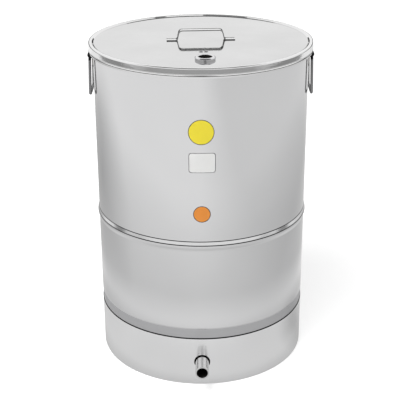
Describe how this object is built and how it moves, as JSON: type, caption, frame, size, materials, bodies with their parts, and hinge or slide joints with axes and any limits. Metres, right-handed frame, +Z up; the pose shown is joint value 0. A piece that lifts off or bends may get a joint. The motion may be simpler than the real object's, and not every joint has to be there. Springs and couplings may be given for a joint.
{
  "type": "wax melter",
  "caption": "Tall stainless steam drum on a base ring, with a lift-off lid, a slotted comb basket inside, drop handles and a drain spout that runs out melted wax.",
  "frame": {"origin": "on the floor, at the centre of the base ring", "axes": "+Z up along the drum, spout towards -Y, drop handles at -X and +X"},
  "size_m": [0.5478, 0.5876, 0.8373],
  "materials": {
    "drum_steel": "bright rolled stainless sheet, slightly brushed",
    "lid_steel": "bright spun stainless sheet",
    "inner_steel": "plain mill-finish stainless sheet",
    "pipe_steel": "drawn stainless pipe, bright outside",
    "rod_steel": "polished stainless rod",
    "bracket_steel": "stainless plate with weld tint",
    "socket_steel": "turned stainless"
  },
  "bodies": {
    "drum": {"drum_shell": "drum_steel", "base_skirt": "drum_steel", "drain_floor": "inner_steel", "drain_elbow": "pipe_steel", "spout_pipe": "pipe_steel", "bracket_left": "bracket_steel", "bracket_right": "bracket_steel"},
    "basket": {"basket_wall": "inner_steel", "basket_floor": "inner_steel", "basket_hoop": "inner_steel", "basket_leg_1": "inner_steel", "basket_leg_2": "inner_steel", "basket_leg_3": "inner_steel", "basket_grip_left": "rod_steel", "basket_grip_right": "rod_steel"},
    "lid": {"lid_pan": "lid_steel", "lid_handle": "rod_steel", "steam_socket": "socket_steel"},
    "left_drop_handle": {"side_handle_left": "rod_steel"},
    "right_drop_handle": {"side_handle_right": "rod_steel"}
  },
  "joints": [
    {"name": "basket_lift", "type": "slide", "parent": "drum", "child": "basket", "axis": [0, 0, 1], "range_m": [0, 0.7]},
    {"name": "lid_lift", "type": "slide", "parent": "basket", "child": "lid", "axis": [0, 0, 1], "range_m": [0, 0.25]},
    {"name": "left_handle_swing", "type": "hinge", "parent": "drum", "child": "left_drop_handle", "pos_m": [-0.2669, 0, 0.781], "axis": [0, 1, 0], "range_deg": [0, 135]},
    {"name": "right_handle_swing", "type": "hinge", "parent": "drum", "child": "right_drop_handle", "pos_m": [0.2669, 0, 0.781], "axis": [0, -1, 0], "range_deg": [0, 135]}
  ]
}
